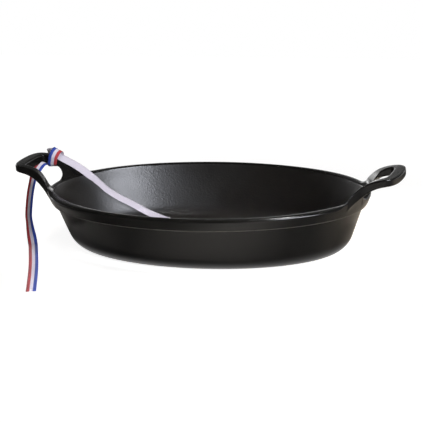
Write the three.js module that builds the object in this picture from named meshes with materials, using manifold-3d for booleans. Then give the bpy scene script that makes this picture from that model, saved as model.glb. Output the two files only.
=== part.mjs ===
// Oval cast iron roaster: a deep enamelled dish with a rolled rim band, two raised loop handles
// and a striped ribbon tied to one of them. Millimetres, +Z up, +X along the long axis,
// origin under the middle of the flat base.
import * as THREE from 'three';
import { mergeVertices } from 'three/addons/utils/BufferGeometryUtils.js';
import Module from 'manifold-3d';

const degrees = THREE.MathUtils.degToRad;

// Oval of the rim
const RIM_LENGTH = 370;
const RIM_WIDTH = 244;
const RIM_HEIGHT = 67.5;
const OVAL_SEGMENTS = 72;

// Rim band, the thick collar round the top of the wall
const BAND_HEIGHT = 14;
const BAND_OVERHANG = 4.6;
const BAND_TAPER = 0.8;
const RIM_TOP_WIDTH = 6.4;
const RIM_OUTER_ROUNDING = 3;
const RIM_INNER_ROUNDING = 1.2;
const BAND_LOWER_ROUNDING = 2;

// Wall, base corner and floor of the dish
const WALL_THICKNESS = 5;
const WALL_DRAFT = degrees(20);
const BASE_CORNER_RADIUS = 26.6;
const FLOOR_THICKNESS = 5;
const FLOOR_CORNER_RADIUS = 22;
const CORNER_STEPS = 6;

// Loop handles: plan of the arms and the grip bar
const HANDLE_REACH = 42.4;
const GRIP_BAR_WIDTH = 13;
const ROOT_OUTER_ANGLE = degrees(24);
const ROOT_INNER_ANGLE = degrees(16);
const ROOT_DEPTH = 4.5;
const ARM_RUN_OUT = 42;
const GRIP_CORNER_SPREAD = 60;
const FINGER_GAP_SPREAD = 33;
const FINGER_GAP_ROOT_RUN = 11.7;
const FINGER_GAP_ROOT_TURN = degrees(-58);

// Loop handles: side view, rising from the rim to the level grip bar
const HANDLE_RISE = 27.5;
const HANDLE_THICKNESS = 8.2;
const TOP_RISE_START = 16;
const TOP_RISE_RUN = 21;
const TOP_RISE_CLIMB = 12.4;
const TOP_LEVEL_RUN = 45.4;
const UNDERSIDE_START = 5;
const UNDERSIDE_ABOVE_BAND_EDGE = 1;
const UNDERSIDE_RUN = 5.7;
const UNDERSIDE_CLIMB = 10.5;
const UNDERSIDE_LEVEL_RUN = 40.4;
const HANDLE_EDGE_ROUNDING = 2.8;
const SIDE_VIEW_STEPS = 64;
const HANDLE_STEPS = 18;
const EDGE_STEPS = 3;

// Clearances between the pieces
const JOIN_GAP = 0.3;
const RIBBON_GAP = 0.4;
const WELD_TOLERANCE = 1e-4;

// Ribbon
const RIBBON_WIDTH = 11;
const RIBBON_THICKNESS = 1;
const HITCH_INSIDE_FROM = 0.5;
const HITCH_INSIDE_TO = 0.68;
const HITCH_OUTSIDE_FROM = 0.3;
const HITCH_OUTSIDE_TO = 0.47;
const HITCH_STEPS = 4;
const HITCH_LOFT = 7.5;
const STEPS_PER_POINT = 2;

// Route of the tail that leaves the hitch, drops through the finger gap and lies on the table,
// with the way its striped side faces at each point
const HANGING_TAIL = [
  { at: [-206.5, 17.6, 83.4], faces: [-0.15, -0.4, 0.9] },
  { at: [-212, 9.4, 79.4], faces: [0.05, -0.68, 0.7] },
  { at: [-214.6, 4, 75], faces: [-0.1, -0.85, 0.5] },
  { at: [-216.1, -1.7, 68], faces: [-0.28, -0.92, 0.25] },
  { at: [-217.5, -8.4, 53], faces: [-0.3, -0.94, 0.1] },
  { at: [-218.6, -14.1, 32], faces: [-0.3, -0.94, 0.1] },
  { at: [-217.3, -16.6, 21.5], faces: [-0.26, -0.93, 0.2] },
  { at: [-215.2, -19.8, 13.3], faces: [-0.12, -0.88, 0.45] },
  { at: [-211.6, -25.1, 6.7], faces: [0.1, -0.65, 0.75] },
  { at: [-207.6, -32, 2.4], faces: [0.08, -0.3, 0.95] },
  { at: [-203.5, -39.8, 0.9], faces: [0, 0, 1] },
  { at: [-195.7, -55.9, 0.9], faces: [0, 0, 1] },
  { at: [-184.3, -79.8, 0.9], faces: [0, 0, 1] },
  { at: [-171.8, -106.7, 0.9], faces: [0, 0, 1] },
  { at: [-157.3, -139.5, 0.9], faces: [0, 0, 1] },
  { at: [-146.6, -164.7, 0.9], faces: [0, 0, 1] },
  { at: [-136.2, -189.2, 0.9], faces: [0, 0, 1] },
];

// Route of the tail that leaves the top of the hitch, crosses the rim and lies down the inside
const INSIDE_TAIL = [
  { at: [-192, 33, 91.6], faces: [0.42, -0.32, 0.85] },
  { at: [-186.4, 36.2, 87], faces: [0.42, -0.32, 0.85] },
  { at: [-178.3, 39.4, 80.9], faces: [0.42, -0.32, 0.85] },
  { at: [-170, 41.3, 73.9], faces: [0.42, -0.32, 0.85] },
  { at: [-161, 42.2, 66.4], faces: [0.42, -0.32, 0.85] },
  { at: [-156.8, 46, 60], faces: [0.42, -0.32, 0.85] },
  { at: [-151.9, 49.3, 53.7], faces: [0.42, -0.32, 0.85] },
  { at: [-146.9, 51.8, 47.6], faces: [0.42, -0.32, 0.85] },
  { at: [-141.9, 54.4, 42.4], faces: [0.42, -0.32, 0.85] },
  { at: [-131.5, 59.4, 33.9], faces: [0.42, -0.32, 0.85] },
  { at: [-121, 64.2, 26.9], faces: [0.42, -0.32, 0.85] },
  { at: [-110.1, 68.1, 19.8], faces: [0.42, -0.32, 0.85] },
  { at: [-98.3, 70, 13.9], faces: [0.42, -0.32, 0.85] },
  { at: [-86, 70.4, 10], faces: [0.2, -0.2, 0.95] },
  { at: [-70, 67, 7], faces: [0.05, -0.05, 1] },
  { at: [-53, 60.5, 6.1], faces: [0, 0, 1] },
  { at: [-35, 51.6, 6.1], faces: [0, 0, 1] },
  { at: [-16, 41, 6.1], faces: [0, 0, 1] },
];

const HALF_LENGTH = RIM_LENGTH / 2;
const HALF_WIDTH = RIM_WIDTH / 2;
const OVAL_STRETCH = HALF_LENGTH - HALF_WIDTH;
const BAND_EDGE_HEIGHT = RIM_HEIGHT - BAND_HEIGHT;
const WALL_ACROSS = WALL_THICKNESS / Math.cos(WALL_DRAFT);

// A black enamelled casting and a woven ribbon, as colours for a viewer
const IRON = { color: 0x24221f, roughness: 0.55, metalness: 0.1 };
const RIBBON_STRIPES = { color: 0x4a5fa8, roughness: 0.7, metalness: 0 };
const RIBBON_WHITE = { color: 0xe4e0e8, roughness: 0.75, metalness: 0 };

// A profile is a list of insets from the rim's outer edge and heights; the oval round it keeps the
// same inset on the long and the short axis.
function ovalOfProfile(profile) {
  const points = profile.map(({ inset, height }) => new THREE.Vector2(HALF_WIDTH - inset, height));
  const geometry = new THREE.LatheGeometry(points, OVAL_SEGMENTS);
  geometry.rotateX(Math.PI / 2);
  const position = geometry.attributes.position;
  for (let i = 0; i < position.count; i++) {
    const radius = Math.hypot(position.getX(i), position.getY(i));
    if (radius > WELD_TOLERANCE) {
      position.setX(i, (position.getX(i) * (radius + OVAL_STRETCH)) / radius);
    }
  }
  return weld(geometry);
}

function weld(geometry) {
  geometry.deleteAttribute('normal');
  geometry.deleteAttribute('uv');
  return mergeVertices(geometry, WELD_TOLERANCE);
}

// Points of a rounded corner, from one angle to another about its centre.
function cornerArc(centre, radius, fromAngle, toAngle, steps = CORNER_STEPS) {
  return Array.from({ length: steps + 1 }, (_, i) => {
    const angle = THREE.MathUtils.lerp(fromAngle, toAngle, i / steps);
    return {
      inset: centre.inset - radius * Math.cos(angle),
      height: centre.height + radius * Math.sin(angle),
    };
  });
}

// Half section of one face of the wall: up from its floor round the corner and along the draft.
function wallFace(insetAtBand, floorHeight, cornerRadius) {
  const tangentHeight = floorHeight + cornerRadius * (1 - Math.sin(WALL_DRAFT));
  const tangentInset = insetAtBand + (BAND_EDGE_HEIGHT - tangentHeight) * Math.tan(WALL_DRAFT);
  const centre = {
    inset: tangentInset + cornerRadius * Math.cos(WALL_DRAFT),
    height: floorHeight + cornerRadius,
  };
  return [
    { inset: HALF_WIDTH, height: floorHeight },
    ...cornerArc(centre, cornerRadius, -Math.PI / 2, -WALL_DRAFT),
    { inset: insetAtBand, height: BAND_EDGE_HEIGHT },
  ];
}

function dishBody() {
  const outside = wallFace(BAND_OVERHANG, 0, BASE_CORNER_RADIUS);
  const inside = wallFace(BAND_OVERHANG + WALL_ACROSS, FLOOR_THICKNESS, FLOOR_CORNER_RADIUS);
  return ovalOfProfile([...outside, ...inside.reverse()]);
}

// Outside of the band from its lower edge to the inner lip, grown outwards by a gap.
function bandOutside(gap = 0) {
  const lower = {
    inset: BAND_TAPER + BAND_LOWER_ROUNDING,
    height: BAND_EDGE_HEIGHT + BAND_LOWER_ROUNDING,
  };
  const upper = { inset: RIM_OUTER_ROUNDING, height: RIM_HEIGHT - RIM_OUTER_ROUNDING };
  return [
    ...cornerArc(lower, BAND_LOWER_ROUNDING + gap, -Math.PI / 2, 0, EDGE_STEPS),
    ...cornerArc(upper, RIM_OUTER_ROUNDING + gap, 0, Math.PI / 2, EDGE_STEPS),
  ];
}

function rimBand() {
  const lip = { inset: RIM_TOP_WIDTH - RIM_INNER_ROUNDING, height: RIM_HEIGHT - RIM_INNER_ROUNDING };
  const profile = [
    { inset: BAND_OVERHANG + WALL_ACROSS, height: BAND_EDGE_HEIGHT },
    ...bandOutside(),
    ...cornerArc(lip, RIM_INNER_ROUNDING, Math.PI / 2, Math.PI, EDGE_STEPS),
  ];
  return ovalOfProfile([...profile, profile[0]]);
}

// The solid that the handle roots are cut back to: the band filled in, with the join gap round it.
function bandEnvelope() {
  const outside = bandOutside(JOIN_GAP);
  return ovalOfProfile([
    { inset: HALF_WIDTH, height: outside[0].height },
    ...outside,
    { inset: HALF_WIDTH, height: RIM_HEIGHT + JOIN_GAP },
  ]);
}

// Point on the rim's outer edge at an angle of the oval, and the way out and along it there.
function rimPoint(angle) {
  const at = new THREE.Vector2(HALF_LENGTH * Math.cos(angle), HALF_WIDTH * Math.sin(angle));
  const out = new THREE.Vector2(HALF_WIDTH * Math.cos(angle), HALF_LENGTH * Math.sin(angle)).normalize();
  return { at, out, along: new THREE.Vector2(out.y, -out.x) };
}

// One edge of a handle arm in plan, from the rim to the middle of the grip bar.
function armEdge(root, leave, reach, spread) {
  const end = new THREE.Vector2(reach, 0);
  return new THREE.CubicBezierCurve(root, root.clone().add(leave), new THREE.Vector2(reach, spread), end);
}

// Height of a side view curve at a distance from the middle of the dish.
function heightAt(samples, x) {
  const last = samples.length - 1;
  if (x <= samples[0].x) return samples[0].y;
  if (x >= samples[last].x) return samples[last].y;
  const i = samples.findIndex((point) => point.x > x);
  const share = (x - samples[i - 1].x) / (samples[i].x - samples[i - 1].x);
  return THREE.MathUtils.lerp(samples[i - 1].y, samples[i].y, share);
}

function sideView(startX, startHeight, run, climb, levelRun, endHeight) {
  const endX = HALF_LENGTH + HANDLE_REACH;
  return new THREE.CubicBezierCurve(
    new THREE.Vector2(startX, startHeight),
    new THREE.Vector2(startX + run, startHeight + climb),
    new THREE.Vector2(endX - levelRun, endHeight),
    new THREE.Vector2(endX, endHeight),
  ).getPoints(SIDE_VIEW_STEPS);
}

const outerRoot = rimPoint(ROOT_OUTER_ANGLE);
const innerRoot = rimPoint(ROOT_INNER_ANGLE);
const gripOuter = HALF_LENGTH + HANDLE_REACH;
const gripTop = RIM_HEIGHT + HANDLE_RISE;
const armOutside = armEdge(
  outerRoot.at,
  outerRoot.along.clone().multiplyScalar(ARM_RUN_OUT),
  gripOuter,
  GRIP_CORNER_SPREAD,
);
const armInside = armEdge(
  innerRoot.at,
  new THREE.Vector2(FINGER_GAP_ROOT_RUN, 0).rotateAround(new THREE.Vector2(), FINGER_GAP_ROOT_TURN),
  gripOuter - GRIP_BAR_WIDTH,
  FINGER_GAP_SPREAD,
);
const handleTop = sideView(
  HALF_LENGTH - TOP_RISE_START,
  RIM_HEIGHT - JOIN_GAP,
  TOP_RISE_RUN,
  TOP_RISE_CLIMB,
  TOP_LEVEL_RUN,
  gripTop,
);
const handleUnderside = sideView(
  HALF_LENGTH - UNDERSIDE_START,
  BAND_EDGE_HEIGHT + UNDERSIDE_ABOVE_BAND_EDGE,
  UNDERSIDE_RUN,
  UNDERSIDE_CLIMB,
  UNDERSIDE_LEVEL_RUN,
  gripTop - HANDLE_THICKNESS,
);

// Cross section of a handle arm between an inner and an outer plan point: a rounded rectangle,
// grown by a gap all round and by a further loft on top.
function armSection(inner, outer, gap = 0, loft = 0) {
  const middle = inner.clone().lerp(outer, 0.5);
  const width = inner.distanceTo(outer) + 2 * gap;
  const level = heightAt(handleUnderside, middle.x);
  const height = heightAt(handleTop, middle.x) - level + 2 * gap;
  const rounding = HANDLE_EDGE_ROUNDING + gap;
  const cornerAcross = Math.min(rounding / width, 0.5);
  const cornerUp = Math.min(rounding / height, 0.5);
  const section = [];
  for (let corner = 0; corner < 4; corner++) {
    for (let step = 0; step <= EDGE_STEPS; step++) {
      const angle = (corner + step / EDGE_STEPS) * (Math.PI / 2);
      const sideways = corner === 0 || corner === 3 ? 1 - cornerAcross : cornerAcross;
      const upwards = corner < 2 ? 1 - cornerUp : cornerUp;
      const across = sideways + cornerAcross * Math.cos(angle);
      const up = upwards + cornerUp * Math.sin(angle);
      const share = 0.5 + (across - 0.5) * (width / (width - 2 * gap));
      const plan = inner.clone().lerp(outer, share);
      const bottom = heightAt(handleUnderside, plan.x) - gap;
      const top = heightAt(handleTop, plan.x) + gap;
      const lift = loft * Math.max(0, 2 * up - 1) * Math.sin(Math.PI * across);
      section.push(new THREE.Vector3(plan.x, plan.y, THREE.MathUtils.lerp(bottom, top, up) + lift));
    }
  }
  return section;
}

const mirrored = (section) => section.map((point) => new THREE.Vector3(point.x, -point.y, point.z));

function handleSections() {
  const buried = [innerRoot, outerRoot].map(({ at, out }) => at.clone().addScaledVector(out, -ROOT_DEPTH));
  const half = [armSection(...buried)];
  for (let step = 0; step <= HANDLE_STEPS; step++) {
    const along = step / HANDLE_STEPS;
    half.push(armSection(armInside.getPoint(along), armOutside.getPoint(along)));
  }
  return [...half, ...half.slice(0, -1).reverse().map(mirrored)];
}

// Skin over a row of like sections, with the two ends capped, or joined to each other in a ring.
function loft(sections, isRing = false) {
  const size = sections[0].length;
  const points = sections.flat();
  const index = [];
  const spans = isRing ? sections.length : sections.length - 1;
  for (let span = 0; span < spans; span++) {
    const here = span * size;
    const next = ((span + 1) % sections.length) * size;
    for (let i = 0; i < size; i++) {
      const j = (i + 1) % size;
      index.push(here + i, here + j, next + j, here + i, next + j, next + i);
    }
  }
  if (!isRing) {
    const end = (sections.length - 1) * size;
    for (let i = 1; i < size - 1; i++) index.push(0, i + 1, i, end, end + i, end + i + 1);
  }
  const geometry = new THREE.BufferGeometry().setFromPoints(points);
  geometry.setIndex(signedVolume(points, index) < 0 ? index.reverse() : index);
  return geometry;
}

function signedVolume(points, index) {
  let volume = 0;
  for (let i = 0; i < index.length; i += 3) {
    const [a, b, c] = [points[index[i]], points[index[i + 1]], points[index[i + 2]]];
    volume += a.dot(b.clone().cross(c)) / 6;
  }
  return volume;
}

const wasm = await Module();
wasm.setup();

function solidOf(geometry) {
  const mesh = new wasm.Mesh({
    numProp: 3,
    vertProperties: new Float32Array(geometry.attributes.position.array),
    triVerts: new Uint32Array(geometry.index.array),
  });
  return new wasm.Manifold(mesh);
}

function geometryOf(solid) {
  const mesh = solid.getMesh();
  const geometry = new THREE.BufferGeometry();
  geometry.setAttribute('position', new THREE.BufferAttribute(new Float32Array(mesh.vertProperties), 3));
  geometry.setIndex(new THREE.BufferAttribute(new Uint32Array(mesh.triVerts), 1));
  return geometry;
}

// Handle on the +X end, cut back to the band that it grows out of.
function handle() {
  return geometryOf(solidOf(loft(handleSections())).subtract(solidOf(bandEnvelope())));
}

// The wrap of ribbon round the far arm of the -X handle, lofted on top where the layers pile up.
function ribbonHitch() {
  const stations = Array.from({ length: HITCH_STEPS + 1 }, (_, step) => {
    const share = step / HITCH_STEPS;
    const inside = THREE.MathUtils.lerp(HITCH_INSIDE_FROM, HITCH_INSIDE_TO, share);
    const outside = THREE.MathUtils.lerp(HITCH_OUTSIDE_FROM, HITCH_OUTSIDE_TO, share);
    return [armInside.getPoint(inside), armOutside.getPoint(outside)];
  });
  const under = stations.map(([inner, outer]) => armSection(inner, outer, RIBBON_GAP));
  const over = stations.map(([inner, outer]) =>
    armSection(inner, outer, RIBBON_GAP + RIBBON_THICKNESS, HITCH_LOFT),
  );
  const ring = under[0].map((_, i) => [
    ...under.map((section) => section[i]),
    ...over.map((section) => section[i]).reverse(),
  ]);
  const farArm = ring.map((section) =>
    section.map((point) => new THREE.Vector3(-point.x, point.y, point.z)),
  );
  return loft(farArm, true);
}

// A flat strip of ribbon along a route, facing the given way at each point.
function ribbonTail(route) {
  const path = new THREE.CatmullRomCurve3(route.map(({ at }) => new THREE.Vector3(...at)));
  const facing = new THREE.CatmullRomCurve3(route.map(({ faces }) => new THREE.Vector3(...faces)));
  const steps = (route.length - 1) * STEPS_PER_POINT;
  const sections = [];
  for (let step = 0; step <= steps; step++) {
    const centre = path.getPoint(step / steps);
    const tangent = path.getTangent(step / steps);
    const across = tangent.clone().cross(facing.getPoint(step / steps)).normalize();
    const face = across.clone().cross(tangent);
    const corners = [[-1, -1], [1, -1], [1, 1], [-1, 1]];
    sections.push(
      corners.map(([side, level]) =>
        centre
          .clone()
          .addScaledVector(across, (side * RIBBON_WIDTH) / 2)
          .addScaledVector(face, (level * RIBBON_THICKNESS) / 2),
      ),
    );
  }
  return loft(sections);
}

function piece(name, geometry, finish) {
  const mesh = new THREE.Mesh(geometry, new THREE.MeshStandardMaterial(finish));
  mesh.name = name;
  return mesh;
}

const roaster = new THREE.Group();
const handleShape = handle();
const rightHandle = piece('right_handle', handleShape, IRON);
const leftHandle = piece('left_handle', handleShape, IRON);
leftHandle.rotation.z = Math.PI;

roaster.add(
  piece('dish_body', dishBody(), IRON),
  piece('rim_band', rimBand(), IRON),
  leftHandle,
  rightHandle,
  piece('ribbon_hitch', ribbonHitch(), RIBBON_STRIPES),
  piece('ribbon_hanging_tail', ribbonTail(HANGING_TAIL), RIBBON_STRIPES),
  piece('ribbon_inside_tail', ribbonTail(INSIDE_TAIL), RIBBON_WHITE),
);

export default roaster;
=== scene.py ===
"""Looks of an oval cast iron roaster: enamelled casting, striped ribbon, table and light."""

import logging
import math
from dataclasses import dataclass, field
from enum import Enum

import bmesh
import bpy
from mathutils import Matrix, Vector


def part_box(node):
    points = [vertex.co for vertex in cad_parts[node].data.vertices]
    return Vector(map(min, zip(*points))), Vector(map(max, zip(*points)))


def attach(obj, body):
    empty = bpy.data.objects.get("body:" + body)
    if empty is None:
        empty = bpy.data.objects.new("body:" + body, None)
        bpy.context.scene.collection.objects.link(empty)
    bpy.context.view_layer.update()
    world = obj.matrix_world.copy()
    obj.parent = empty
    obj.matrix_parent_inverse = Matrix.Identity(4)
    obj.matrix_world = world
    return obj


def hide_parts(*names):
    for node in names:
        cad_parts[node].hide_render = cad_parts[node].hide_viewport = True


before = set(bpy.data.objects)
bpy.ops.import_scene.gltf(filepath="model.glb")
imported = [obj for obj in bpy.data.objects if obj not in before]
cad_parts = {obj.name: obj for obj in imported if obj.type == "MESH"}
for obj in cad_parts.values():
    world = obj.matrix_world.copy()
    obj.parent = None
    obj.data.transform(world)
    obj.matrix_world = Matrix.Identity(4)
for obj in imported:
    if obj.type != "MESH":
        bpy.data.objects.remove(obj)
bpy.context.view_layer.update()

LOG = logging.getLogger("roaster")
MM = 0.001
QUARTER_TURN = math.pi / 2
Point = tuple[float, float, float]
Pair = tuple[float, float]
Colour = tuple[float, float, float, float]
Socket = bpy.types.NodeSocket
WHITE: Colour = (1.0, 1.0, 1.0, 1.0)


class Slot(str, Enum):
    """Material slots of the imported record."""

    ENAMEL = "black_enamel"
    STRIPES = "striped_ribbon"
    REVERSE = "ribbon_reverse"


class Node(str, Enum):
    """CAD nodes that the scene's pieces stand for."""

    DISH = "dish_body"
    BAND = "rim_band"
    LEFT_HANDLE = "left_handle"
    RIGHT_HANDLE = "right_handle"
    HITCH = "ribbon_hitch"
    HANGING_TAIL = "ribbon_hanging_tail"
    INSIDE_TAIL = "ribbon_inside_tail"


class Side(Enum):
    """Material indices of the casting's two surfaces and of the ribbon's two faces."""

    FRONT = 0
    BACK = 1


class Lay(str, Enum):
    """Ways that a tail of the ribbon lies."""

    HANGING = "hanging"
    LOOSE = "loose"


class Nodes:
    """A node tree, built node by node."""

    # Part of a noise's range that most of its values lie in.
    NOISE_MIDDLE: Pair = (0.3, 0.7)
    # Scale at which a wave texture has one band in a unit.
    ONE_BAND = math.tau / 20.0

    def __init__(self, tree: bpy.types.NodeTree) -> None:
        """Take hold of a tree.

        Args:
            tree: The node tree of a material or a world.
        """
        self.tree = tree

    def node(self, kind: str, **settings: object) -> bpy.types.Node:
        """Add a node and set its properties.

        Args:
            kind: Blender's name of the node type.
            **settings: Properties to set on the node.

        Returns:
            The new node.
        """
        made = self.tree.nodes.new(kind)
        for name, value in settings.items():
            setattr(made, name, value)
        return made

    def link(self, source: Socket, target: Socket) -> None:
        """Join an output to an input."""
        self.tree.links.new(source, target)

    def parts(self, vector: Socket) -> dict[str, Socket]:
        """Take a vector apart.

        Args:
            vector: The vector.

        Returns:
            Its values by the names of their axes.
        """
        split = self.node("ShaderNodeSeparateXYZ")
        self.link(vector, split.inputs["Vector"])
        return {axis: split.outputs[axis] for axis in "XYZ"}

    def length(self, vector: Socket) -> Socket:
        """Measure a vector.

        Args:
            vector: The vector.

        Returns:
            Its length.
        """
        measure = self.node("ShaderNodeVectorMath", operation="LENGTH")
        self.link(vector, measure.inputs[0])
        return measure.outputs["Value"]

    def calculate(self, operation: str, *values: Socket | float) -> Socket:
        """Add a math node.

        Args:
            operation: Blender's name of the operation.
            *values: Its inputs in order, each an output to link or a number to set.

        Returns:
            The result.
        """
        made = self.node("ShaderNodeMath", operation=operation)
        for target, value in zip(made.inputs, values):
            if isinstance(value, Socket):
                self.link(value, target)
            else:
                target.default_value = value
        return made.outputs["Value"]

    def noise(self, source: Socket, scale: float, detail: float) -> Socket:
        """Add a noise texture.

        Args:
            source: Coordinates to read.
            scale: Cycles of the noise in a unit of those coordinates.
            detail: Octaves of the noise.

        Returns:
            The noise's value.
        """
        texture = self.node("ShaderNodeTexNoise")
        texture.inputs["Scale"].default_value = scale
        texture.inputs["Detail"].default_value = detail
        self.link(source, texture.inputs["Vector"])
        return texture.outputs["Fac"]

    def bands(self, source: Socket, axis: str, count: float) -> Socket:
        """Add a wave texture of straight bands.

        Args:
            source: Coordinates to read.
            axis: Axis along which the bands follow one another.
            count: Bands in a unit of those coordinates.

        Returns:
            The wave's value.
        """
        wave = self.node("ShaderNodeTexWave", wave_type="BANDS", bands_direction=axis, wave_profile="SIN")
        wave.inputs["Scale"].default_value = count * self.ONE_BAND
        self.link(source, wave.inputs["Vector"])
        return wave.outputs["Fac"]

    def spread(self, value: Socket, low: float, high: float, span: Pair = NOISE_MIDDLE) -> Socket:
        """Map a part of a value's range, by default the middle of a noise's, on to other values.

        Args:
            value: The value to read.
            low: What the start of the range becomes.
            high: What the end of the range becomes.
            span: Start and end of the range.

        Returns:
            The mapped value.
        """
        mapping = self.node("ShaderNodeMapRange")
        mapping.inputs["From Min"].default_value = span[0]
        mapping.inputs["From Max"].default_value = span[1]
        mapping.inputs["To Min"].default_value = low
        mapping.inputs["To Max"].default_value = high
        self.link(value, mapping.inputs["Value"])
        return mapping.outputs["Result"]

    def ramp(self, value: Socket, stops: list[tuple[float, Colour]]) -> Socket:
        """Colour a value.

        Args:
            value: The value from 0 to 1.
            stops: Places and colours along the ramp.

        Returns:
            The colour.
        """
        ramp = self.node("ShaderNodeValToRGB")
        elements = ramp.color_ramp.elements
        for place, _ in stops[len(elements):]:
            elements.new(place)
        for element, (place, colour) in zip(elements, stops):
            element.position = place
            element.color = colour
        self.link(value, ramp.inputs["Fac"])
        return ramp.outputs["Color"]

    def blend(self, tone: Socket, other: Colour, share: Socket) -> Socket:
        """Blend a colour towards a plain one.

        Args:
            tone: The colour to start from.
            other: The plain colour.
            share: How far to go, from 0 to 1.

        Returns:
            The blended colour.
        """
        mix = self.node("ShaderNodeMix", data_type="RGBA")
        self.link(share, mix.inputs["Factor"])
        self.link(tone, mix.inputs["A"])
        mix.inputs["B"].default_value = other
        return mix.outputs["Result"]


class Shader(Nodes):
    """A node material with one Principled shader."""

    def __init__(self, name: str) -> None:
        """Start an empty node material.

        Args:
            name: Name of the material.
        """
        self.material = bpy.data.materials.new(name)
        self.material.use_nodes = True
        super().__init__(self.material.node_tree)
        self.principled = self.tree.nodes["Principled BSDF"]

    def set(self, **values: object) -> None:
        """Set inputs of the Principled shader, with underscores for the spaces in their names."""
        for name, value in values.items():
            self.principled.inputs[name.replace("_", " ")].default_value = value

    def feed(self, name: str, source: Socket) -> None:
        """Join an output to a named input of the Principled shader."""
        self.link(source, self.principled.inputs[name])

    def bump(self, heights: list[tuple[Socket, float, float]]) -> None:
        """Chain bumps into the shader's normal.

        Args:
            heights: For each bump its height, its strength and its depth in metres.
        """
        normal = None
        for height, strength, depth in heights:
            bump = self.node("ShaderNodeBump")
            bump.inputs["Strength"].default_value = strength
            bump.inputs["Distance"].default_value = depth
            self.link(height, bump.inputs["Height"])
            if normal is not None:
                self.link(normal, bump.inputs["Normal"])
            normal = bump.outputs["Normal"]
        self.feed("Normal", normal)


@dataclass(frozen=True)
class EnamelFinish:
    """Black enamel on cast iron: nearly black, with a fine grain, uneven gloss and, where asked, a painted
    highlight line along an edge.
    """

    name: str
    dark: Colour
    light: Colour
    smoothest: float
    roughest: float
    specular: float
    grain_scale: float
    grain_strength: float
    grain_depth: float
    ripple_strength: float
    ripple_scale: float = 180.0
    ripple_depth: float = 0.4 * MM
    fine_detail: float = 2.0
    mottle_scale: float = 70.0
    mottle_detail: float = 4.0
    mottle_span: Pair = (0.3, 0.72)
    cloud_scale: float = 26.0
    cloud_detail: float = 3.0
    # Painted highlight: colour and width of a pale line along one edge
    painted_highlight: Colour = (0.10, 0.093, 0.08, 1.0)
    painted_highlight_width: float = 1.3 * MM

    def material(self, painted_highlight_height: float | None = None) -> bpy.types.Material:
        """Build the material.

        Args:
            painted_highlight_height: Height of an edge that gets a painted highlight line, if there is one.

        Returns:
            A material that reads Object coordinates.
        """
        shader = Shader(self.name)
        place = shader.node("ShaderNodeTexCoord").outputs["Object"]
        mottle = shader.noise(place, self.mottle_scale, self.mottle_detail)
        cloud = shader.noise(place, self.cloud_scale, self.cloud_detail)
        grain = shader.noise(place, self.grain_scale, self.fine_detail)
        ripple = shader.noise(place, self.ripple_scale, self.fine_detail)
        tone = shader.ramp(mottle, list(zip(self.mottle_span, (self.dark, self.light))))
        # Painted highlight: a pale line along the edge at this height
        if painted_highlight_height is not None:
            height = shader.parts(place)["Z"]
            on_edge = shader.calculate("COMPARE", height, painted_highlight_height, self.painted_highlight_width / 2)
            tone = shader.blend(tone, self.painted_highlight, on_edge)
        shader.feed("Base Color", tone)
        shader.feed("Roughness", shader.spread(cloud, self.smoothest, self.roughest))
        shader.set(Specular_IOR_Level=self.specular)
        ripples = (ripple, self.ripple_strength, self.ripple_depth)
        grains = (grain, self.grain_strength, self.grain_depth)
        shader.bump([ripples, grains])
        return shader.material


@dataclass(frozen=True)
class WeaveFinish:
    """Woven ribbon: stripes across its width and fine ribs along it."""

    name: str
    stripes: tuple[Colour, ...]
    edge_blur: float = 0.012
    ribs_per_width: float = 24.0
    rib_bump: Pair = (0.35, 0.12 * MM)
    warps_per_width: float = 38.4
    warp_bump: Pair = (0.15, 0.06 * MM)
    wear_scale: float = 9.0
    wear_detail: float = 3.0
    wear: Pair = (0.9, 1.06)
    roughness: float = 0.62
    specular: float = 0.25
    sheen: float = 0.15
    sheen_roughness: float = 0.4

    def stops(self) -> list[tuple[float, Colour]]:
        """Place the stripes across the width with narrow soft borders.

        Returns:
            Places and colours for a colour ramp.
        """
        count = len(self.stripes)
        stops = []
        for index, colour in enumerate(self.stripes):
            start = index / count + (self.edge_blur if index else 0.0)
            end = (index + 1) / count - (self.edge_blur if index + 1 < count else 0.0)
            stops += [(start, colour), (end, colour)]
        return stops

    def material(self) -> bpy.types.Material:
        """Build the material.

        Returns:
            A material that reads the ribbon's own UV map, across and along in ribbon widths.
        """
        shader = Shader(self.name)
        flat = shader.node("ShaderNodeUVMap", uv_map=Ribbon.UV_NAME).outputs["UV"]
        colour = shader.ramp(shader.parts(flat)["X"], self.stops())
        ribs = shader.bands(flat, "Y", self.ribs_per_width)
        warp = shader.bands(flat, "X", self.warps_per_width)
        worn = shader.spread(shader.noise(flat, self.wear_scale, self.wear_detail), *self.wear)
        tint = shader.node("ShaderNodeMix", data_type="RGBA", blend_type="MULTIPLY")
        tint.inputs["Factor"].default_value = 1.0
        shader.link(colour, tint.inputs["A"])
        shader.link(worn, tint.inputs["B"])
        shader.feed("Base Color", tint.outputs["Result"])
        shader.set(Roughness=self.roughness, Specular_IOR_Level=self.specular)
        shader.set(Sheen_Weight=self.sheen, Sheen_Roughness=self.sheen_roughness)
        shader.bump([(ribs, *self.rib_bump), (warp, *self.warp_bump)])
        return shader.material


def shade(red: float, green: float, blue: float) -> Colour:
    """Give a colour its full opacity."""
    return (red, green, blue, 1.0)


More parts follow.
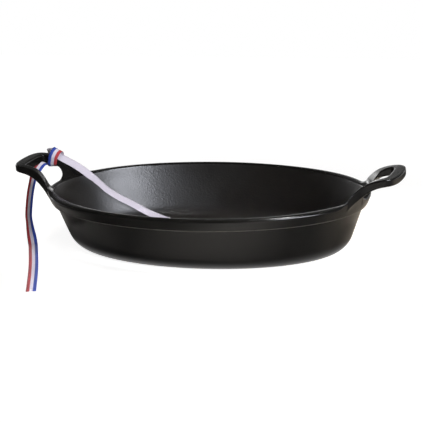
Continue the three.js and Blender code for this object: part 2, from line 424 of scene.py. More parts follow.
OUTSIDE_ENAMEL = EnamelFinish(
    name="outside_enamel",
    dark=shade(0.0052, 0.0049, 0.0043),
    light=shade(0.0086, 0.0080, 0.0069),
    smoothest=0.16,
    roughest=0.21,
    specular=0.5,
    grain_scale=1300.0,
    grain_strength=0.10,
    grain_depth=0.15 * MM,
    ripple_strength=0.06,
)
INSIDE_ENAMEL = EnamelFinish(
    name="inside_enamel",
    dark=shade(0.0068, 0.0058, 0.0046),
    light=shade(0.0102, 0.0086, 0.0068),
    smoothest=0.36,
    roughest=0.44,
    specular=0.9,
    grain_scale=520.0,
    grain_strength=0.9,
    grain_depth=0.24 * MM,
    ripple_strength=0.14,
)
STRIPED_WEAVE = WeaveFinish(
    name="striped_weave",
    stripes=(shade(0.035, 0.065, 0.33), shade(0.66, 0.615, 0.68), shade(0.42, 0.045, 0.05)),
)
WHITE_WEAVE = WeaveFinish(name="white_weave", stripes=(shade(0.62, 0.57, 0.63),) * 2)


def outward(azimuth: float, elevation: float) -> Vector:
    """Give the direction from the dish towards a place in the studio.

    Args:
        azimuth: Degrees round from straight in front, towards the right.
        elevation: Degrees above the table.

    Returns:
        The direction, with a length of 1.
    """
    turn, lift = math.radians(azimuth), math.radians(elevation)
    return Vector((math.sin(turn) * math.cos(lift), -math.cos(turn) * math.cos(lift), math.sin(lift)))


@dataclass(frozen=True)
class StudioCamera:
    """The camera's place, fitted to the dish's edges in the photograph."""

    azimuth: float = 19.655
    elevation: float = 16.24
    roll: float = -3.061
    distance: float = 1.7645
    target: Point = (0.00496, -0.00002, 0.04051)
    lens: float = 131.92
    sensor: float = 36.0

    def build(self) -> bpy.types.Object:
        """Make the camera and give it to the scene.

        Returns:
            The camera object.
        """
        data = bpy.data.cameras.new("studio_camera")
        data.lens = self.lens
        data.sensor_width = self.sensor
        camera = bpy.data.objects.new("studio_camera", data)
        back = outward(self.azimuth, self.elevation)
        turn = math.radians(self.azimuth)
        right = Vector((math.cos(turn), math.sin(turn), 0.0))
        up = back.cross(right)
        axes = Matrix((right, up, back)).transposed() @ Matrix.Rotation(math.radians(self.roll), 3, "Z")
        camera.matrix_world = Matrix.LocRotScale(Vector(self.target) + back * self.distance, axes, None)
        bpy.context.collection.objects.link(camera)
        bpy.context.scene.camera = camera
        return camera


def placed(name: str, mesh: bmesh.types.BMesh, materials: list[bpy.types.Material]) -> bpy.types.Object:
    """Turn a bmesh into an object at the origin.

    Args:
        name: Name of the object.
        mesh: Its shape, freed here.
        materials: Its materials in the order of the faces' indices.

    Returns:
        The new object.
    """
    data = bpy.data.meshes.new(name)
    mesh.to_mesh(data)
    mesh.free()
    for material in materials:
        data.materials.append(material)
    made = bpy.data.objects.new(name, data)
    bpy.context.collection.objects.link(made)
    return made


@dataclass(frozen=True)
class Waypoint:
    """A point of a ribbon's route and the way that its front face looks there."""

    at: Point
    faces: Point


@dataclass
class Ribbon:
    """A length of flat ribbon that follows a route."""

    UV_NAME = "along_ribbon"
    GRID_HALF = 0.5

    name: str
    route: list[Waypoint]
    stands_for: Node
    tints: dict[Side, bpy.types.Material]
    slot: Slot = Slot.STRIPES
    width: float = 11 * MM
    thickness: float = 0.25 * MM
    steps_per_point: int = 6
    columns: int = 6
    edge_side: Side = Side.FRONT
    shadow: bool = True
    reflected: bool = True

    def sample(self, values: list[Vector], place: float) -> Vector:
        """Read a smooth curve through values that stand at whole numbers.

        Args:
            values: The values at 0, 1, 2 and so on.
            place: Where to read.

        Returns:
            The value there, on a Catmull-Rom curve.
        """
        last = len(values) - 1
        index = min(int(place), last - 1)
        share = place - index
        before, start = values[max(index - 1, 0)], values[index]
        end, after = values[index + 1], values[min(index + 2, last)]
        line = (end - before) * share
        bend = (2 * before - 5 * start + 4 * end - after) * share**2
        twist = (3 * start - before - 3 * end + after) * share**3
        return start + (line + bend + twist) / 2

    def frames(self) -> list[tuple[Vector, Vector]]:
        """Walk the route.

        Returns:
            For each step the middle of the ribbon and the direction across it.
        """
        steps = self.steps_per_point * (len(self.route) - 1)
        places = [step / self.steps_per_point for step in range(steps + 1)]
        points = [Vector(stop.at) for stop in self.route]
        looks = [Vector(stop.faces) for stop in self.route]
        line = [self.sample(points, place) for place in places]
        walk = []
        for step, place in enumerate(places):
            along = line[min(step + 1, steps)] - line[max(step - 1, 0)]
            across = along.cross(self.sample(looks, place)).normalized()
            walk.append((line[step], across))
        return walk

    def length(self) -> float:
        """Measure the ribbon along its middle.

        Returns:
            The length in metres.
        """
        middles = [middle for middle, _ in self.frames()]
        return sum((b - a).length for a, b in zip(middles, middles[1:]))

    def build(self) -> bpy.types.Object:
        """Lay a grid along the route and give it a thickness.

        Returns:
            The ribbon, with its own tint on each face.
        """
        walk = self.frames()
        steps = len(walk) - 1
        mesh = bmesh.new()
        half = self.GRID_HALF
        bmesh.ops.create_grid(mesh, x_segments=self.columns, y_segments=steps, size=half)
        flat = mesh.loops.layers.uv.new(self.UV_NAME)
        run = self.length() / self.width
        for face in mesh.faces:
            face.smooth = True
            for loop in face.loops:
                loop[flat].uv = (loop.vert.co.x + half, (loop.vert.co.y + half) * run)
        for vert in mesh.verts:
            middle, across = walk[round((vert.co.y + half) * steps)]
            vert.co = middle + across * (vert.co.x * self.width)
        piece = placed(self.name, mesh, [self.tints[Side.FRONT], self.tints[Side.BACK]])
        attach(piece, "root")
        solid = piece.modifiers.new("thickness", "SOLIDIFY")
        solid.thickness = self.thickness
        solid.offset = 0.0
        solid.material_offset = Side.BACK.value
        solid.material_offset_rim = self.edge_side.value
        piece.visible_shadow = self.shadow
        piece.visible_glossy = self.reflected
        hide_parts(self.stands_for.value)
        return piece

    def declare_free(self, piece: bpy.types.Object, lay: Lay, tied: list[bpy.types.Object]) -> None:
        """Args:
            piece: The ribbon's object; not used.
            lay: How it lies; not used.
            tied: The pieces on it; not used.
        """
        self.length()


FACE_UP = (0.0, 0.0, 1.0)
FACE_DOWN = (0.0, 0.0, -1.0)
LEANING = (-0.45, 0.43, -0.78)
FLATTER = (-0.42, 0.31, -0.85)

HANGING_ROUTE = [
    Waypoint((-0.2090, 0.0270, 0.0840), (0.1, -0.5, 0.85)),
    Waypoint((-0.2114, 0.0195, 0.0851), (0.1, -0.75, 0.6)),
    Waypoint((-0.2134, 0.0107, 0.0812), (0.1, -0.83, 0.5)),
    Waypoint((-0.2153, 0.004, 0.075), (-0.05, -0.88, 0.45)),
    Waypoint((-0.2161, -0.0017, 0.068), (-0.28, -0.92, 0.25)),
    Waypoint((-0.2175, -0.0084, 0.053), (-0.3, -0.94, 0.1)),
    Waypoint((-0.2186, -0.0141, 0.032), (-0.3, -0.94, 0.1)),
    Waypoint((-0.2173, -0.0166, 0.0215), (-0.26, -0.93, 0.2)),
    Waypoint((-0.2152, -0.0198, 0.0133), (-0.12, -0.88, 0.45)),
    Waypoint((-0.2116, -0.0251, 0.0067), (0.1, -0.65, 0.75)),
    Waypoint((-0.2076, -0.032, 0.0024), (0.08, -0.3, 0.95)),
    Waypoint((-0.2035, -0.0398, 0.0009), FACE_UP),
    Waypoint((-0.1957, -0.0559, 0.0009), FACE_UP),
    Waypoint((-0.1843, -0.0798, 0.0009), FACE_UP),
    Waypoint((-0.1718, -0.1067, 0.0009), FACE_UP),
    Waypoint((-0.1573, -0.1395, 0.0009), FACE_UP),
    Waypoint((-0.1466, -0.1647, 0.0009), FACE_UP),
    Waypoint((-0.1362, -0.1892, 0.0009), FACE_UP),
]

INSIDE_ROUTE = [
    Waypoint((-0.1966, 0.0302, 0.0926), LEANING),
    Waypoint((-0.1928, 0.0325, 0.0893), LEANING),
    Waypoint((-0.1868, 0.0358, 0.0846), LEANING),
    Waypoint((-0.1785, 0.0392, 0.0788), LEANING),
    Waypoint((-0.17, 0.0413, 0.0724), LEANING),
    Waypoint((-0.161, 0.0422, 0.0653), LEANING),
    Waypoint((-0.1568, 0.046, 0.06), LEANING),
    Waypoint((-0.1519, 0.0493, 0.0537), FLATTER),
    Waypoint((-0.1469, 0.0518, 0.0476), FLATTER),
    Waypoint((-0.1419, 0.0544, 0.0424), FLATTER),
    Waypoint((-0.1315, 0.0594, 0.0339), FLATTER),
    Waypoint((-0.121, 0.0642, 0.0269), FLATTER),
    Waypoint((-0.1105, 0.0679, 0.0197), FLATTER),
    Waypoint((-0.0996, 0.0694, 0.0137), FLATTER),
    Waypoint((-0.0882, 0.0696, 0.0097), (-0.25, 0.22, -0.94)),
    Waypoint((-0.0722, 0.0665, 0.0069), (-0.05, 0.05, -1.0)),
    Waypoint((-0.053, 0.0605, 0.0061), FACE_DOWN),
    Waypoint((-0.035, 0.0516, 0.0061), FACE_DOWN),
    Waypoint((-0.016, 0.041, 0.0061), FACE_DOWN),
]

WRAP_ROUTE = [
    Waypoint((-0.1985, 0.0320, 0.0798), (0.1, 0.2, -1.0)),
    Waypoint((-0.1996, 0.0258, 0.0802), (0.1, -0.35, -0.9)),
    Waypoint((-0.1998, 0.0212, 0.0829), (0.12, -0.9, -0.4)),
    Waypoint((-0.1988, 0.0203, 0.0870), (0.12, -0.99, 0.0)),
    Waypoint((-0.1974, 0.0207, 0.0928), (0.22, -0.95, 0.2)),
    Waypoint((-0.1955, 0.0236, 0.0976), (0.45, -0.65, 0.6)),
    Waypoint((-0.1944, 0.0286, 0.0998), (0.5, -0.1, 0.85)),
    Waypoint((-0.1948, 0.0332, 0.0982), (0.35, 0.45, 0.8)),
    Waypoint((-0.1957, 0.0366, 0.0940), (0.2, 0.87, 0.4)),
    Waypoint((-0.1966, 0.0376, 0.0888), (0.1, 0.98, 0.0)),
    Waypoint((-0.1974, 0.0370, 0.0835), (0.1, 0.9, -0.4)),
    Waypoint((-0.1982, 0.0338, 0.0806), (0.1, 0.5, -0.85)),
    Waypoint((-0.1990, 0.0292, 0.0791), (0.1, 0.1, -1.0)),
    Waypoint((-0.2003, 0.0236, 0.0810), (0.1, -0.5, -0.85)),
]

TUCK_ROUTE = [
    Waypoint((-0.1990, 0.0388, 0.0932), (0.0, -1.0, 0.1)),
    Waypoint((-0.2045, 0.0392, 0.0932), (0.0, -1.0, 0.1)),
    Waypoint((-0.2092, 0.0393, 0.0930), (-0.1, -1.0, 0.1)),
    Waypoint((-0.2120, 0.0398, 0.0920), (-0.3, -0.9, 0.1)),
    Waypoint((-0.2132, 0.0412, 0.0908), (-0.6, -0.8, 0.1)),
]


@dataclass(frozen=True)
class PlaneCurve:
    """A cubic curve in a plane, from a start to an end by way of two handles."""

    HALVINGS = 30

    start: Vector
    leave: Vector
    arrive: Vector
    end: Vector

    def at(self, share: float) -> Vector:
        """Read the curve.

        Args:
            share: How far along it, from 0 to 1.

        Returns:
            The point there.
        """
        rest = 1.0 - share
        pull = 3 * rest * rest * share * self.leave + 3 * rest * share * share * self.arrive
        return rest**3 * self.start + pull + share**3 * self.end

    def height_at(self, x: float) -> float:
        """Read a curve that runs outwards as a height.

        Args:
            x: Distance from the middle of the dish.

        Returns:
            The curve's height there, level beyond its ends.
        """
        low, high = 0.0, 1.0
        for _ in range(self.HALVINGS):
            middle = (low + high) / 2
            if self.at(middle).x < x:
                low = middle
            else:
                high = middle
        return self.at(low).y


@dataclass(frozen=True)
class Swell:
    """How the rim widens towards the ends of the dish."""

    amount: float
    starts: float
    full: float

    def at(self, turn: float) -> float:
        """Read the swell.

        Args:
            turn: Angle of the oval from the long axis.

        Returns:
            How far the rim stands out there.
        """
        share = min(max((self.starts - turn) / (self.starts - self.full), 0.0), 1.0)
        return self.amount * share * share * (3 - 2 * share)


@dataclass(frozen=True)
class ArmSides:
    """A handle arm's four edges in side view."""

    inner_top: PlaneCurve
    outer_top: PlaneCurve
    inner_low: PlaneCurve
    outer_low: PlaneCurve


def bevel(radius: float) -> float:
    """Say how far the middle of a rounding lies from its corner along either side."""
    return radius * (1 - math.sqrt(0.5))


@dataclass
class Casting:
    """The dish with its rim band and two loop handles, one seamless skin as on the real casting."""

    half_length: float
    half_width: float
    height: float
    band_edge: float
    reach: float
    grip_top: float
    band_overhang: float = 4.6 * MM
    band_taper: float = 0.8 * MM
    band_rounding: float = 1.4 * MM
    band_crease: Pair = (0.15 * MM, -0.05 * MM)
    band_foot_bend: Pair = (-0.25, -0.6)
    rim_rounding: float = 3.0 * MM
    rim_top_width: float = 6.4 * MM
    lip_rounding: float = 1.2 * MM
    lip_drop: float = 0.2 * MM
    wall_thickness: float = 5.0 * MM
    floor_thickness: float = 5.0 * MM
    draft: float = math.radians(20)
    base_radius: float = 24.5 * MM
    floor_radius: float = 22.0 * MM
    flat_inset: float = 42.7 * MM
    corner_steps: int = 4
    quarter_steps: int = 30
    # Rows of the profile, as shares of the way along the base, the walls and the floor.
    base_rows: tuple[float, ...] = (0.0, 0.42, 0.8, 0.95)
    wall_rows: tuple[float, ...] = (0.33, 0.66, 0.96)
    mouth_row: float = 0.35
    inner_wall_rows: tuple[float, ...] = (0.36, 0.7)
    floor_rows: tuple[float, ...] = (0.92, 0.62, 0.3, 0.0)
    root_first_column: int = 3
    root_last_column: int = 7
    root_underside: float = 59.0 * MM
    root_start_out: float = 0.1 * MM
    rim_swell: Swell = Swell(4.4 * MM, math.radians(80), math.radians(30))
    rim_swell_foot: float = 0.15
    rim_swell_growth: float = 1.1
    lip_swell: Swell = Swell(2.7 * MM, math.radians(30), math.radians(14))
    root_swell: float = 3.4 * MM
    grip_width: float = 12.6 * MM
    grip_thickness: float = 7.4 * MM
    grip_overshoot: float = 0.3 * MM
    hole_edge_drop: float = 3.0 * MM
    outer_root: float = math.radians(21.6)
    outer_pull: Pair = (-23.0 * MM, 19.0 * MM)
    outer_sweep: float = 55.0 * MM
    inner_root: float = math.radians(10.2)
    inner_pull: Pair = (-5.0 * MM, 18.5 * MM)
    inner_sweep: float = 37.0 * MM
    arm_sections: int = 14
    section_crowding: float = 1.4
    edge_allowance: float = 0.04
    ridge_end: float = 1.75
    # Shares of the ridge's climb by row, the first of them so many rows under the crest.
    ridge_climb: tuple[float, ...] = (0.7, 1.0, 1.0, 0.35)
    ridge_rows_below: int = 2
    ridge_sharpening: float = 1.8 * MM
    # Height above the band's lower edge of the outside enamel's painted highlight line
    painted_highlight_rise: float = 0.5 * MM
    merge_distance: float = 0.01 * MM
    smoothing: int = 2
    rows: dict[str, int] = field(default_factory=dict)

    @classmethod
    def from_frame(cls) -> "Casting":
        """Take the overall sizes from the CAD nodes.

        Returns:
            A casting of the frame's size.
        """
        band_low, band_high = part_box(Node.BAND.value)
        _, grip_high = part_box(Node.RIGHT_HANDLE.value)
        return cls(
            half_length=band_high.x,
            half_width=band_high.y,
            height=band_high.z,
            band_edge=band_low.z,
            reach=grip_high.x + cls.grip_overshoot,
            grip_top=grip_high.z,
        )

    def corner(self, top_radius: float, floor: float, radius: float) -> list[Vector]:
        """Round the corner between a floor and a sloping wall.

        Args:
            top_radius: Half length of the wall's face at the band's lower edge.
            floor: Height of the floor.
            radius: Radius of the corner.

        Returns:
            Half lengths and heights from the floor to the wall.
        """
        tangent = floor + radius * (1 - math.sin(self.draft))
        reach = top_radius - (self.band_edge - tangent) * math.tan(self.draft)
        centre = Vector((reach - radius * math.cos(self.draft), floor + radius))
        turn = QUARTER_TURN - self.draft
        angles = [turn * step / self.corner_steps - QUARTER_TURN for step in range(self.corner_steps + 1)]
        return [centre + radius * Vector((math.cos(angle), math.sin(angle))) for angle in angles]

    def profile(self) -> list[Vector]:
        """Draw half the section along the long axis, from under the base over the rim to the floor.

        Returns:
            Half lengths and heights, with the rows of the handle roots noted on the way.
        """
        outer_top = Vector((self.half_length - self.band_overhang, self.band_edge))
        wall_across = self.wall_thickness / math.cos(self.draft)
        inner_top = Vector((outer_top.x - wall_across, self.band_edge))
        outside = self.corner(outer_top.x, 0.0, self.base_radius)
        inside = self.corner(inner_top.x, self.floor_thickness, self.floor_radius)
        base = [Vector((outside[0].x * share, 0.0)) for share in self.base_rows]
        wall = [outside[-1].lerp(outer_top, share) for share in self.wall_rows]
        face_foot = Vector((self.half_length - self.band_taper, self.band_edge + self.band_rounding))
        step = [
            outer_top + Vector(self.band_crease),
            Vector((face_foot.x - self.band_rounding, self.band_edge)),
            face_foot + Vector(self.band_foot_bend) * self.band_rounding,
        ]
        rim_start = Vector((self.half_length, self.height - self.rim_rounding))
        root_start = Vector((face_foot.x + self.root_start_out, self.root_underside))
        rim_bevel = bevel(self.rim_rounding)
        root = [
            root_start,
            (root_start + rim_start) / 2,
            rim_start,
            Vector((self.half_length - rim_bevel, self.height - rim_bevel)),
            Vector((self.half_length - self.rim_rounding, self.height)),
        ]
        lip = Vector((self.half_length - self.rim_top_width, self.height - self.lip_drop))
        lip_bevel = bevel(self.lip_rounding)
        top = [
            lip + Vector((self.lip_rounding, 0.0)),
            lip + Vector((lip_bevel, -lip_bevel)),
            lip + Vector((0.0, -self.lip_rounding)),
        ]
        inner_wall = [lip.lerp(inner_top, self.mouth_row), inner_top]
        inner_wall += [inner_top.lerp(inside[-1], share) for share in self.inner_wall_rows]
        floor = [Vector((inside[0].x * share, self.floor_thickness)) for share in self.floor_rows]
        before = base + outside + wall + step
        self.rows["band_low"] = len(before) - len(step) + 1
        self.rows["root_low"] = len(before)
        self.rows["root_high"] = len(before) + len(root) - 1
        self.rows["inside"] = len(before) + len(root) + len(top) - 1
        self.rows["mouth"] = self.rows["inside"] + 1
        return before + root + top + inner_wall + inside[::-1] + floor

    def oval(self, vert: bmesh.types.BMVert) -> None:
        """Draw a vertex of the round form in to the oval.

        Args:
            vert: A vertex whose distance from the axis is its half length.
        """
        radius = math.hypot(vert.co.x, vert.co.y)
        stretch = self.half_length - self.half_width
        at = max(radius, self.half_length - self.flat_inset)
        vert.co.y *= (at - stretch) / at

    def outwards(self, turn: float) -> Vector:
        """Give the direction square to the rim, in plan."""
        return Vector((self.half_width * math.cos(turn), self.half_length * math.sin(turn))).normalized()

    def swell(self, vert: bmesh.types.BMVert, row: int, turn: float) -> None:
        """Push the rim out towards the ends of the dish, its outer top edge most.

        Args:
            vert: A vertex of the dish.
            row: Its row of the profile.
            turn: Its angle of the oval.
        """
        amount = 0.0
        if self.rows["band_low"] <= row <= self.rows["root_high"]:
            up = (vert.co.z - self.band_edge) / (self.height - self.band_edge)
            amount = self.rim_swell.at(turn) * min(self.rim_swell_foot + self.rim_swell_growth * up, 1.0)
        elif self.rows["root_high"] < row <= self.rows["mouth"]:
            amount = self.lip_swell.at(turn)
        vert.co += (self.outwards(turn) * amount).to_3d()

    def root_point(self, turn: float) -> Vector:
        """Find where an edge of a handle arm leaves the rim.

        Args:
            turn: Angle of the oval.

        Returns:
            The point in plan.
        """
        rim = Vector((self.half_length * math.cos(turn), self.half_width * math.sin(turn)))
        return rim + self.outwards(turn) * self.root_swell

    def arm_edge(self, turn: float, end: float, pull: Pair, sweep: float) -> PlaneCurve:
        """Draw one edge of a handle arm in plan, from the rim to the middle of the grip.

        Args:
            turn: Angle of the oval that it leaves the rim at.
            end: How far out it ends.
            pull: The handle that it leaves by, measured from its end.
            sweep: How far before its end it is straight.

        Returns:
            The edge.
        """
        grip = Vector((end, 0.0))
        return PlaneCurve(self.root_point(turn), grip + Vector(pull), grip + Vector((0.0, sweep)), grip)

    def arm_plan(self) -> tuple[PlaneCurve, PlaneCurve]:
        """Draw a handle arm in plan.

        Returns:
            Its hole edge and its outer edge.
        """
        hole = self.reach - self.grip_width
        inner = self.arm_edge(self.inner_root, hole, self.inner_pull, self.inner_sweep)
        outer = self.arm_edge(self.outer_root, self.reach, self.outer_pull, self.outer_sweep)
        return inner, outer

    def rise(self, start: Pair, leave: Pair, arrive: float, level: float) -> PlaneCurve:
        """Draw one edge of a handle arm in side view, from the rim to the level grip.

        Args:
            start: Where it starts, past the rim's end and above the rim's top.
            leave: The handle that it leaves by, measured in the same way.
            arrive: How far before the end it is level.
            level: Height of the grip's edge.

        Returns:
            The edge.
        """
        rim_end = Vector((self.half_length, self.height))
        end = Vector((self.reach, level))
        before_end = end - Vector((arrive, 0.0))
        return PlaneCurve(rim_end + Vector(start), rim_end + Vector(leave), before_end, end)

    def arm_sides(self) -> ArmSides:
        """Draw a handle arm's four edges in side view; its top leans towards the hole.

        Returns:
            The edges.
        """
        top, low = self.grip_top, self.grip_top - self.grip_thickness
        hole_low = low - self.hole_edge_drop
        return ArmSides(
            inner_top=self.rise((-2.1 * MM, -4.2 * MM), (5 * MM, 22.5 * MM), 27 * MM, top),
            outer_top=self.rise((-16.5 * MM, -0.9 * MM), (-1.5 * MM, 10.8 * MM), 43 * MM, top),
            inner_low=self.rise((-0.1 * MM, -5.3 * MM), (0.6 * MM, 14.5 * MM), 38 * MM, hole_low),
            outer_low=self.rise((-14.3 * MM, -9.4 * MM), (10.5 * MM, 12.2 * MM), 28 * MM, low),
        )

    def quarter(self) -> bmesh.types.BMesh:
        """Spin the profile through a quarter turn and draw it in to the oval.

        Returns:
            A quarter of the dish, with each vertex's row and column kept on it.
        """
        mesh = bmesh.new()
        row = mesh.verts.layers.int.new("row")
        column = mesh.verts.layers.int.new("column")
        chain = [mesh.verts.new((point.x, 0.0, point.y)) for point in self.profile()]
        for index, vert in enumerate(chain):
            vert[row] = index
        edges = [mesh.edges.new(pair) for pair in zip(chain, chain[1:])]
        bmesh.ops.spin(
            mesh, geom=chain + edges, axis=(0, 0, 1), angle=QUARTER_TURN, steps=self.quarter_steps
        )
        for vert in mesh.verts:
            turn = math.atan2(vert.co.y, vert.co.x)
            vert[column] = round(turn / QUARTER_TURN * self.quarter_steps)
            self.oval(vert)
            self.swell(vert, vert[row], turn)
        bmesh.ops.remove_doubles(mesh, verts=mesh.verts, dist=self.merge_distance)
        return mesh

    def across_arm(self, column: int) -> float:
        """Say how far a column lies from the hole side of a handle root to its outer side."""
        return (column - self.root_first_column) / (self.root_last_column - self.root_first_column)

    def widened(self, share: float) -> float:
        """Push a share of a section past its edges by what the smoothing takes off them."""
        return share + (2 * share - 1) * self.edge_allowance

    def raise_roots(self, mesh: bmesh.types.BMesh, sides: ArmSides) -> None:
        """Let the rim's outer edge draw up to a ridge where a handle arm leaves it.

        Args:
            mesh: A quarter of the dish.
            sides: The arm's edges in side view.
        """
        row, column = mesh.verts.layers.int["row"], mesh.verts.layers.int["column"]
        crest = self.rows["root_high"]
        climbs = dict(enumerate(self.ridge_climb, start=crest - self.ridge_rows_below))
        for vert in mesh.verts:
            across = self.across_arm(vert[column])
            if vert[row] not in climbs or not 0 <= across <= self.ridge_end:
                continue
            inner, outer = (edge.height_at(vert.co.x) for edge in (sides.inner_top, sides.outer_top))
            climb = max(0.0, inner + (outer - inner) * min(across, 1.0) - self.height)
            vert.co.z += climb * climbs[vert[row]]
            if vert[row] == crest:
                turn = vert[column] / self.quarter_steps * QUARTER_TURN
                sharpen = self.ridge_sharpening * min(across, self.ridge_end - across, 1.0)
                vert.co += (self.outwards(turn) * sharpen).to_3d()

    def raise_arm(self, mesh: bmesh.types.BMesh) -> None:
        """Draw a handle arm out of the band's face, section by section, to the middle of the grip.

        Args:
            mesh: A quarter of the dish.
        """
        row, column = mesh.verts.layers.int["row"], mesh.verts.layers.int["column"]
        inner, outer = self.arm_plan()
        sides = self.arm_sides()
        self.raise_roots(mesh, sides)
        low, high = self.rows["root_low"], self.rows["root_high"]
        first, last = self.root_first_column, self.root_last_column
        root = {v for v in mesh.verts if low <= v[row] <= high and first <= v[column] <= last}
        front = [face for face in mesh.faces if root.issuperset(face.verts)]
        for section in range(1, self.arm_sections + 1):
            share = (section / self.arm_sections) ** self.section_crowding
            hole_side, far_side = inner.at(share), outer.at(share)
            hole_low, hole_top = (edge.height_at(hole_side.x) for edge in (sides.inner_low, sides.inner_top))
            far_low, far_top = (edge.height_at(far_side.x) for edge in (sides.outer_low, sides.outer_top))
            grown = bmesh.ops.extrude_face_region(mesh, geom=front)["geom"]
            bmesh.ops.delete(mesh, geom=front, context="FACES")
            front = [item for item in grown if isinstance(item, bmesh.types.BMFace)]
            for vert in (item for item in grown if isinstance(item, bmesh.types.BMVert)):
                across = self.widened(self.across_arm(vert[column]))
                up = self.widened((vert[row] - low) / (high - low))
                place = hole_side.lerp(far_side, across)
                level = hole_low + (far_low - hole_low) * across
                top = hole_top + (far_top - hole_top) * across
                vert.co = (place.x, place.y, level + (top - level) * up)
        bmesh.ops.delete(mesh, geom=front, context="FACES")

    def build(self) -> bpy.types.Object:
        """Build the whole casting from its quarter.

        Returns:
            The casting, with its inside and its outside in their own enamel.
        """
        mesh = self.quarter()
        self.raise_arm(mesh)
        row = mesh.verts.layers.int["row"]
        for face in mesh.faces:
            face.smooth = True
            is_inside = min(vert[row] for vert in face.verts) >= self.rows["inside"]
            face.material_index = (Side.BACK if is_inside else Side.FRONT).value
        for axis in ("Y", "X"):
            everything = mesh.verts[:] + mesh.edges[:] + mesh.faces[:]
            bmesh.ops.mirror(mesh, geom=everything, axis=axis, merge_dist=self.merge_distance)
        bmesh.ops.remove_doubles(mesh, verts=mesh.verts, dist=self.merge_distance)
        bmesh.ops.recalc_face_normals(mesh, faces=mesh.faces)
        # The outside enamel gets a painted highlight line just above the band's lower edge
        outside = OUTSIDE_ENAMEL.material(painted_highlight_height=self.band_edge + self.painted_highlight_rise)
        piece = placed("casting", mesh, [outside, INSIDE_ENAMEL.material()])
        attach(piece, "root")
        smooth = piece.modifiers.new("smoothing", "SUBSURF")
        smooth.levels = self.smoothing
        smooth.render_levels = self.smoothing
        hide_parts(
            Node.DISH.value, Node.BAND.value, Node.LEFT_HANDLE.value, Node.RIGHT_HANDLE.value
        )
        return piece


@dataclass(frozen=True)
class Softbox:
    """A rectangular lamp that looks at a place on the dish."""

    name: str
    azimuth: float
    elevation: float
    distance: float
    width: float
    height: float
    power: float
    reflected: bool = True
    aim: Point = (0.0, 0.0, 0.04)
    spread: float = 180.0
    tint: Point = (1.0, 1.0, 1.0)

    def build(self) -> bpy.types.Object:
        """Hang the lamp.

        Returns:
            The lamp object.
        """
        data = bpy.data.lights.new(self.name, "AREA")
        data.shape = "RECTANGLE"
        data.size = self.width
        data.size_y = self.height
        data.energy = self.power
        data.spread = math.radians(self.spread)
        data.color = self.tint
        lamp = bpy.data.objects.new(self.name, data)
        away = outward(self.azimuth, self.elevation)
        lamp.location = Vector(self.aim) + away * self.distance
        lamp.rotation_mode = "QUATERNION"
        lamp.rotation_quaternion = away.to_track_quat("Z", "Y")
        lamp.visible_glossy = self.reflected
        bpy.context.collection.objects.link(lamp)
        return lamp


@dataclass(frozen=True)
class LightPool:
    """An oval pool of painted light on the table, paler than the rest."""

    centre: Point
    size: Pair
    turn: float = 0.0
    fade: Pair = (0.3, 1.5)
    level: float = 1.0
    tone: Colour = (0.85, 0.8, 0.73, 1.0)

    def strength(self, shader: Shader, place: Socket) -> Socket:
        """Work out how far a place is in the pool.

        Args:
            shader: The table's nodes.
            place: Object coordinates.

        Returns:
            The pool's level in its middle and 0 outside it.
        """
        pool = shader.node("ShaderNodeMapping", vector_type="TEXTURE")
        pool.inputs["Location"].default_value = self.centre
        pool.inputs["Rotation"].default_value = (0.0, 0.0, math.radians(self.turn))
        pool.inputs["Scale"].default_value = (*self.size, 1.0)
        shader.link(place, pool.inputs["Vector"])
        return shader.spread(shader.length(pool.outputs["Vector"]), self.level, 0.0, self.fade)


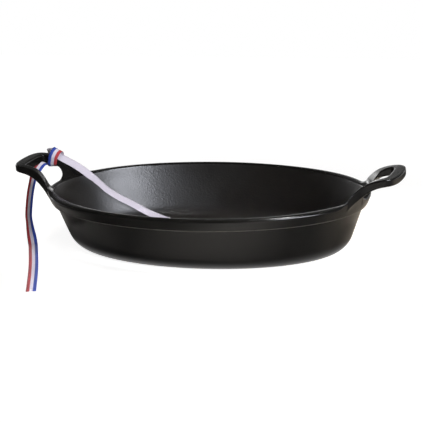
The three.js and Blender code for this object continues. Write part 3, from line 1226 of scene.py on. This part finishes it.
@dataclass(frozen=True)
class Studio:
    """A table lifted to white for the camera, its colour painted shade with pools of painted light, a bright
    room behind it and soft lamps.
    """

    table_size: float = 2.2
    table_drop: float = 0.1 * MM
    # Painted shade: the table's colour outside the pools of painted light
    table_shaded: Colour = (0.1, 0.095, 0.087, 1.0)
    table_roughness: float = 0.9
    table_specular: float = 0.1
    # Pools of painted light on the table, seen in the enamel's reflections
    light_pools: tuple[LightPool, ...] = (
        LightPool((0.15, -0.25, 0.0), (0.24, 0.1), turn=-40.0, fade=(0.4, 1.2), level=0.6),
        LightPool((0.45, 0.1, 0.0), (0.27, 0.16), tone=(0.87, 0.74, 0.57, 1.0)),
        LightPool((-0.33, 0.1, 0.0), (0.22, 0.1), turn=-39.0),
    )
    # A pool of painted light under the foot, which also glows a little in reflections only: a painted glow
    foot_light_pool: LightPool = LightPool((0.0, 0.0, 0.0), (0.158, 0.095), fade=(1.0, 1.12))
    painted_foot_glow: float = 0.36
    table_lift: Pair = (0.9, 1.0)
    lift_span: Pair = (0.3, 0.6)
    front_light: float = 0.05
    back_light: float = 1.5
    depth_span: Pair = (-0.25, 0.55)
    high_light: float = 0.04
    rise_span: Pair = (0.03, 0.24)
    lamps: tuple[Softbox, ...] = (
        Softbox(
            "key", azimuth=48.0, elevation=22.0, distance=1.9, width=1.0, height=0.6, power=34.0,
            tint=(0.95, 0.98, 1.07),
        ),
        Softbox(
            "overhead", azimuth=66.0, elevation=72.8, distance=1.6, width=0.8, height=0.8, power=14.0,
            reflected=False,
        ),
        Softbox(
            "grid", azimuth=57.0, elevation=72.8, distance=1.6, width=0.55, height=0.3, power=0.36,
            aim=(0.07, -0.113, 0.067), spread=12.0,
        ),
        Softbox(
            "rear", azimuth=230.0, elevation=10.5, distance=4.0, width=1.6, height=0.6, power=12.5,
        ),
    )

    def table(self) -> bpy.types.Object:
        """Lay the table just under the dish.

        Returns:
            The table.
        """
        mesh = bmesh.new()
        bmesh.ops.create_grid(mesh, x_segments=1, y_segments=1, size=self.table_size / 2)
        bmesh.ops.translate(mesh, verts=mesh.verts, vec=(0.0, 0.0, -self.table_drop))
        table = placed("table", mesh, [self.table_finish()])
        return table

    def table_finish(self) -> bpy.types.Material:
        """Build the table's material: pools of painted light on a painted-shade base, a lift towards white
        and a painted glow under the foot.

        Returns:
            A material that reads Object coordinates.
        """
        shader = Shader("table_white")
        shader.set(Roughness=self.table_roughness, Specular_IOR_Level=self.table_specular)
        place = shader.node("ShaderNodeTexCoord").outputs["Object"]
        tone = shader.node("ShaderNodeRGB").outputs["Color"]
        tone.default_value = self.table_shaded
        # Paint the pools of light over the painted shade
        for pool in (*self.light_pools, self.foot_light_pool):
            tone = shader.blend(tone, pool.tone, pool.strength(shader, place))
        shader.feed("Base Color", tone)
        rays = shader.node("ShaderNodeLightPath").outputs
        # Painted glow: the table under the foot shines for glossy rays only
        foot = shader.calculate("MULTIPLY", self.foot_light_pool.strength(shader, place), self.painted_foot_glow)
        glow = shader.calculate("MULTIPLY", rays["Is Glossy Ray"], foot)
        paleness = shader.spread(shader.length(place), *self.table_lift, self.lift_span)
        lift = shader.calculate("MULTIPLY_ADD", rays["Is Camera Ray"], paleness, glow)
        shader.set(Emission_Color=WHITE)
        shader.feed("Emission Strength", lift)
        return shader.material

    def room(self) -> bpy.types.World:
        """Light the room: white behind the dish, dim in front of it, plain white to the camera.

        Returns:
            The scene's world.
        """
        world = bpy.data.worlds.new("room")
        bpy.context.scene.world = world
        world.use_nodes = True
        nodes = Nodes(world.node_tree)
        look = nodes.parts(nodes.node("ShaderNodeTexCoord").outputs["Generated"])
        depth = nodes.spread(look["Y"], self.front_light, self.back_light, self.depth_span)
        rise = nodes.spread(look["Z"], 1.0, self.high_light, self.rise_span)
        rays = nodes.node("ShaderNodeLightPath").outputs
        choose = nodes.node("ShaderNodeMix", data_type="FLOAT")
        nodes.link(rays["Is Camera Ray"], choose.inputs["Factor"])
        nodes.link(nodes.calculate("MULTIPLY", depth, rise), choose.inputs["A"])
        choose.inputs["B"].default_value = 1.0
        background = nodes.tree.nodes["Background"]
        background.inputs["Color"].default_value = WHITE
        nodes.link(choose.outputs["Result"], background.inputs["Strength"])
        return world

    def build(self) -> None:
        """Set the table, the room and the lamps."""
        self.table()
        self.room()
        for lamp in self.lamps:
            lamp.build()


def build_ribbon() -> list[bpy.types.Object]:
    """Build the ribbon's two free tails, its wrap round the handle arm and the tuck beside it.

    Returns:
        The four pieces.
    """
    reverse = WHITE_WEAVE.material()
    striped = {Side.FRONT: STRIPED_WEAVE.material(), Side.BACK: reverse}
    plain = {Side.FRONT: reverse, Side.BACK: reverse}
    hanging = Ribbon("ribbon_hanging", HANGING_ROUTE, Node.HANGING_TAIL, striped, reflected=False)
    inside = Ribbon(
        "ribbon_inside",
        INSIDE_ROUTE,
        Node.INSIDE_TAIL,
        striped,
        slot=Slot.REVERSE,
        edge_side=Side.BACK,
        shadow=False,
    )
    wrap = Ribbon("ribbon_wrap", WRAP_ROUTE, Node.HITCH, striped, reflected=False)
    tuck = Ribbon("ribbon_tuck", TUCK_ROUTE, Node.HITCH, plain)
    hitch = [wrap.build(), tuck.build()]
    pieces = list(hitch)
    for tail, lay, tied in ((hanging, Lay.HANGING, hitch), (inside, Lay.LOOSE, [])):
        piece = tail.build()
        tail.declare_free(piece, lay, tied)
        LOG.info("%s is %.0f mm long", tail.name, tail.length() / MM)
        pieces.append(piece)
    return pieces


def main() -> None:
    """Build the scene and report each piece."""
    logging.basicConfig(level=logging.INFO, format="%(name)s: %(message)s")
    bpy.context.scene.view_settings.view_transform = "Standard"
    StudioCamera().build()
    pieces = build_ribbon()
    pieces.append(Casting.from_frame().build())
    for piece in pieces:
        LOG.info("built %s with %d faces", piece.name, len(piece.data.polygons))
    Studio().build()


if __name__ == "__main__":
    main()
